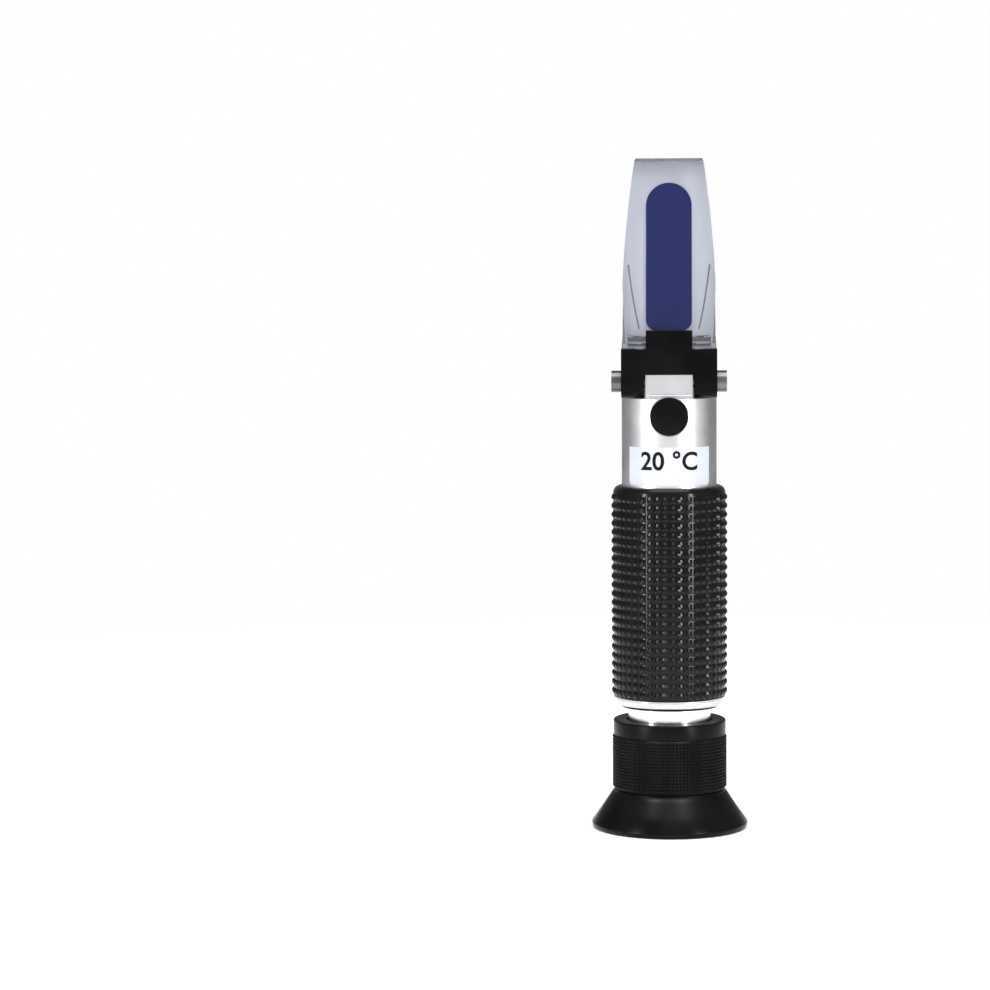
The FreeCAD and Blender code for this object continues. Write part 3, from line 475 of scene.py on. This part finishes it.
def side_limit(height, taper_level, tip, wide):
    """Half-width of the drawn-in outline at a height: an arc from the taper's start to the tip."""
    if height <= taper_level:
        return wide
    share = (height - taper_level) / (tip - taper_level)
    chord = math.hypot(tip - taper_level, wide - TIP_HALF)
    bulge = (SIDE_ARC - math.sqrt(SIDE_ARC ** 2 - (chord / 2) ** 2)) * 4 * share * (1 - share)
    return wide + (TIP_HALF - wide) * share + bulge


def plate_outline(front, half, wide, inset):
    """Points round one cross-section: flat front, chamfer, then the tube's round held to a half-width."""
    back = front + PLATE_DEPTH - GROOVE_BACK * inset
    face = min(half - CHAMFER, math.sqrt(wide ** 2 - front ** 2) - inset)
    right = [(face - EDGE_SHADE_LINE, front), (face, front)]
    for step in range(SIDE_POINTS):
        y = front + CHAMFER_DEPTH + (back - front - CHAMFER_DEPTH) * step / (SIDE_POINTS - 1)
        right.append((min(half, math.sqrt(wide ** 2 - y ** 2) - inset), y))
    return right + [(-x, y) for x, y in reversed(right)]


def make_plate():
    foot, tip = low("daylight_plate").z, high("daylight_plate").z
    wide = high("main_tube").x
    front_at_foot = low("daylight_plate").y
    taper_level = foot + PLATE_TAPER
    tool = bmesh.new()
    sections = []
    for height, inset in plate_levels(foot, tip):
        front = front_at_foot + PLATE_SLOPE * (height - foot) + inset
        half = side_limit(height, taper_level, tip, wide) - inset
        outline = plate_outline(front, half, wide, inset)
        sections.append(([tool.verts.new((x, y, height)) for x, y in outline], height, inset))
    line_foot, line_top = foot + LINE_SPAN[0], foot + LINE_SPAN[1]
    for (here, height, inset), (above, _, inset_above) in zip(sections, sections[1:]):
        count = len(here)
        in_groove = inset == inset_above == GROOVE
        at_tip = above is sections[-1][0]
        for corner in range(count):
            beside = (corner + 1) % count
            face = tool.faces.new((here[corner], here[beside], above[beside], above[corner]))
            on_line = corner in (0, count - 2) and line_foot < height < line_top
            # groove faces, the tip band and the front's edge lines carry painted shade
            if in_groove or at_tip or on_line:
                face.material_index = PAINTED_SHADE_FACE
            elif corner == SIDE_POINTS + 1:
                face.material_index = FROSTED_FACE
    tool.faces.new(sections[0][0])
    tool.faces.new(sections[-1][0]).material_index = PAINTED_SHADE_FACE
    plate = finish_piece("daylight_plate_clear", tool, clear_plastic, "cover", "clear_plastic",
                         "daylight_plate")
    plate.data.materials.append(painted_shade)
    plate.data.materials.append(frosted_back)


# ---------------------------------------------------------------- label

LABEL_CORNER = 1.1 * MM         # round lower corners of the film
LABEL_CELLS = (48, 16)          # faces of the film across and up
PRINT_PROUD = 0.03 * MM         # how far the lettering stands over the film
LETTER_HEIGHT = 4.4 * MM
LETTER_FOOT = 4.1 * MM          # height of the lettering's foot over the film's
CAPITAL_SHARE = 0.69            # height of a capital as a share of the font's size
STROKE_SHARE = 0.03             # how much the strokes are thickened, as a share of the height
INK_DEPTH = 0.01 * MM
STRIP_WIDTH = 0.4 * MM          # lettering is cut into strips this narrow before it is bent round the tube


def bent_patch(half_angle, foot, top, inner, outer, corner):
    """A sheet wrapped round the tube, with rounded lower corners."""
    across, up = LABEL_CELLS
    tool = bmesh.new()
    layers = []
    for radius in (inner, outer):
        grid = []
        for column in range(across + 1):
            share = 2 * column / across - 1
            angle = half_angle * math.sin(share * math.pi / 2)
            from_edge = (half_angle - abs(angle)) * outer
            lift = 0.0
            if from_edge < corner:
                lift = corner - math.sqrt(max(corner ** 2 - (corner - from_edge) ** 2, 0.0))
            bottom = foot + lift
            grid.append([tool.verts.new(on_axis(radius, angle, bottom + (top - bottom) * row / up))
                         for row in range(up + 1)])
        layers.append(grid)
    for grid in layers:
        for column in range(across):
            for row in range(up):
                tool.faces.new((grid[column][row], grid[column + 1][row],
                                grid[column + 1][row + 1], grid[column][row + 1]))
    inner_grid, outer_grid = layers
    rim = [(column, 0) for column in range(across)] + [(across, row) for row in range(up)]
    rim += [(column, up) for column in range(across, 0, -1)] + [(0, row) for row in range(up, 0, -1)]
    for (a, b), (c, d) in zip(rim, rim[1:] + rim[:1]):
        tool.faces.new((inner_grid[a][b], inner_grid[c][d], outer_grid[c][d], outer_grid[a][b]))
    bmesh.ops.remove_doubles(tool, verts=tool.verts, dist=1e-7)
    return tool


def flat_text(words, height):
    """A bmesh of flat lettering in the XY plane, standing on the X axis with its middle at the origin."""
    curve = bpy.data.curves.new("words", "FONT")
    curve.body = words
    curve.size = height / CAPITAL_SHARE
    curve.extrude = INK_DEPTH
    curve.offset = STROKE_SHARE * height
    curve.resolution_u = 4
    holder = bpy.data.objects.new("words", curve)
    bpy.context.collection.objects.link(holder)
    bpy.context.view_layer.update()
    mesh = bpy.data.meshes.new_from_object(holder.evaluated_get(bpy.context.evaluated_depsgraph_get()))
    tool = bmesh.new()
    tool.from_mesh(mesh)
    bpy.data.objects.remove(holder)
    bpy.data.meshes.remove(mesh)
    xs = [corner.co.x for corner in tool.verts]
    shift = (min(xs) + max(xs)) / 2
    for corner in tool.verts:
        corner.co.x -= shift
    return tool


def make_label():
    foot, top = low("spec_label").z, high("spec_label").z
    tube = high("main_tube").x
    outer = -low("spec_label").y
    half_angle = math.asin(high("spec_label").x / outer)
    film = bent_patch(half_angle, foot, top, tube, outer - PRINT_PROUD, LABEL_CORNER)
    finish_piece("label_film", film, label_film, "barrel", "label", "spec_label")
    tool = flat_text("20 °C", LETTER_HEIGHT)
    reach = max(corner.co.x for corner in tool.verts)
    strips = int(2 * reach / STRIP_WIDTH)
    for strip in range(1, strips):
        bmesh.ops.bisect_plane(tool, geom=tool.verts[:] + tool.edges[:] + tool.faces[:],
                               plane_co=(strip * 2 * reach / strips - reach, 0, 0), plane_no=(1, 0, 0))
    level = foot + LETTER_FOOT
    for corner in tool.verts:
        x, y, z = corner.co
        corner.co = on_axis(outer + z, x / outer, level + y)
    finish_piece("label_print", tool, print_ink, "barrel", "label")


# ---------------------------------------------------------------- stage, light, camera

FRONT_LIGHT = 0.7       # the room is bright in front of the object and dim behind it
BACK_LIGHT = 0.22
ROOM_CHANGE = (0.35, -0.25)     # Y of the directions between which the dim room turns into the bright one
BACKDROP_LIGHT = 1.0    # what the camera sees behind the object
FLOOR_RADIUS = 0.45     # beyond it the pieces mirror the dim room, not the bright floor


def make_floor():
    tool = bmesh.new()
    bmesh.ops.create_circle(tool, cap_ends=True, radius=FLOOR_RADIUS, segments=96)
    mesh = bpy.data.meshes.new("floor")
    tool.to_mesh(mesh)
    tool.free()
    floor = bpy.data.objects.new("floor", mesh)
    bpy.context.collection.objects.link(floor)
    material, _, _ = new_material("pale_floor", Roughness=0.9, Base_Color=(0.96, 0.96, 0.96, 1.0))
    mesh.materials.append(material)


def make_room():
    """World light that depends on direction, with a plain bright backdrop for the camera."""
    world = bpy.data.worlds.new("studio")
    world.use_nodes = True
    tree = world.node_tree
    background = tree.nodes["Background"]
    background.inputs["Color"].default_value = (1.0, 1.0, 1.0, 1.0)
    place = tree.nodes.new("ShaderNodeTexCoord")
    split = tree.nodes.new("ShaderNodeSeparateXYZ")
    link(tree, place, "Generated", split, "Vector")
    room = tree.nodes.new("ShaderNodeMapRange")
    room.inputs["From Min"].default_value = ROOM_CHANGE[0]
    room.inputs["From Max"].default_value = ROOM_CHANGE[1]
    room.inputs["To Min"].default_value = BACK_LIGHT
    room.inputs["To Max"].default_value = FRONT_LIGHT
    link(tree, split, "Y", room, "Value")
    rays = tree.nodes.new("ShaderNodeLightPath")
    brightness = tree.nodes.new("ShaderNodeMapRange")
    brightness.inputs["To Max"].default_value = BACKDROP_LIGHT
    link(tree, rays, "Is Camera Ray", brightness, "Value")
    link(tree, room, "Result", brightness, "To Min")
    link(tree, brightness, "Result", background, "Strength")
    bpy.context.scene.world = world


SOFT_BOXES = (      # name, place with its height over the object's middle, width, height, watts
    ("strip_left", (-0.64, -0.50, 0.0), 0.07, 0.7, 4.0),
    ("strip_right", (0.58, -0.58, 0.0), 0.09, 0.7, 4.4),
    ("top_left", (-0.23, -0.19, 0.52), 0.15, 0.15, 1.2),
    ("top_right", (0.20, -0.21, 0.52), 0.18, 0.15, 1.4),
)
SUN_STRENGTH = 1.8
SUN_SPREAD = math.radians(50)
SUN_TILT = math.radians(8)


def add_light(name, kind, strength):
    lamp = bpy.data.lights.new(name, kind)
    lamp.energy = strength
    holder = bpy.data.objects.new(name, lamp)
    bpy.context.collection.objects.link(holder)
    return lamp, holder


def make_lights(middle):
    for name, (x, y, rise), width, height, power in SOFT_BOXES:
        lamp, holder = add_light(name, "AREA", power)
        lamp.shape = "RECTANGLE"
        lamp.size = width
        lamp.size_y = height
        place = Vector((x, y, middle + rise))
        holder.location = place
        holder.rotation_euler = (Vector((0, 0, middle)) - place).to_track_quat("-Z", "Y").to_euler()
    lamp, holder = add_light("overhead", "SUN", SUN_STRENGTH)
    lamp.angle = SUN_SPREAD
    holder.rotation_euler = (SUN_TILT, 0.0, 0.0)


CAMERA_PLACE = (0.0, -0.80, 0.150)
CAMERA_AIM_X = -0.0443          # sideways aim: the object stands right of the picture's middle
CAMERA_ROLL = math.radians(-0.34)
CAMERA_LENS = 114.8


def make_camera(middle):
    bpy.context.scene.view_settings.view_transform = "Standard"     # plain tones: white paper, deep blacks
    lens = bpy.data.cameras.new("camera")
    lens.lens = CAMERA_LENS
    lens.sensor_width = 36.0
    lens.clip_start = 0.01
    camera = bpy.data.objects.new("camera", lens)
    camera.location = CAMERA_PLACE
    aim = Vector((CAMERA_AIM_X, 0.0, middle))
    turn = (aim - camera.location).to_track_quat("-Z", "Y")
    camera.rotation_euler = (turn @ Euler((0.0, 0.0, CAMERA_ROLL)).to_quaternion()).to_euler()
    bpy.context.collection.objects.link(camera)
    bpy.context.scene.camera = camera


dress_nodes()
make_grip()
make_focus_ring()
make_eyecup()
make_plate()
make_label()
make_floor()
make_room()
object_middle = cad_size[1].z / 2
make_lights(object_middle)
make_camera(object_middle)
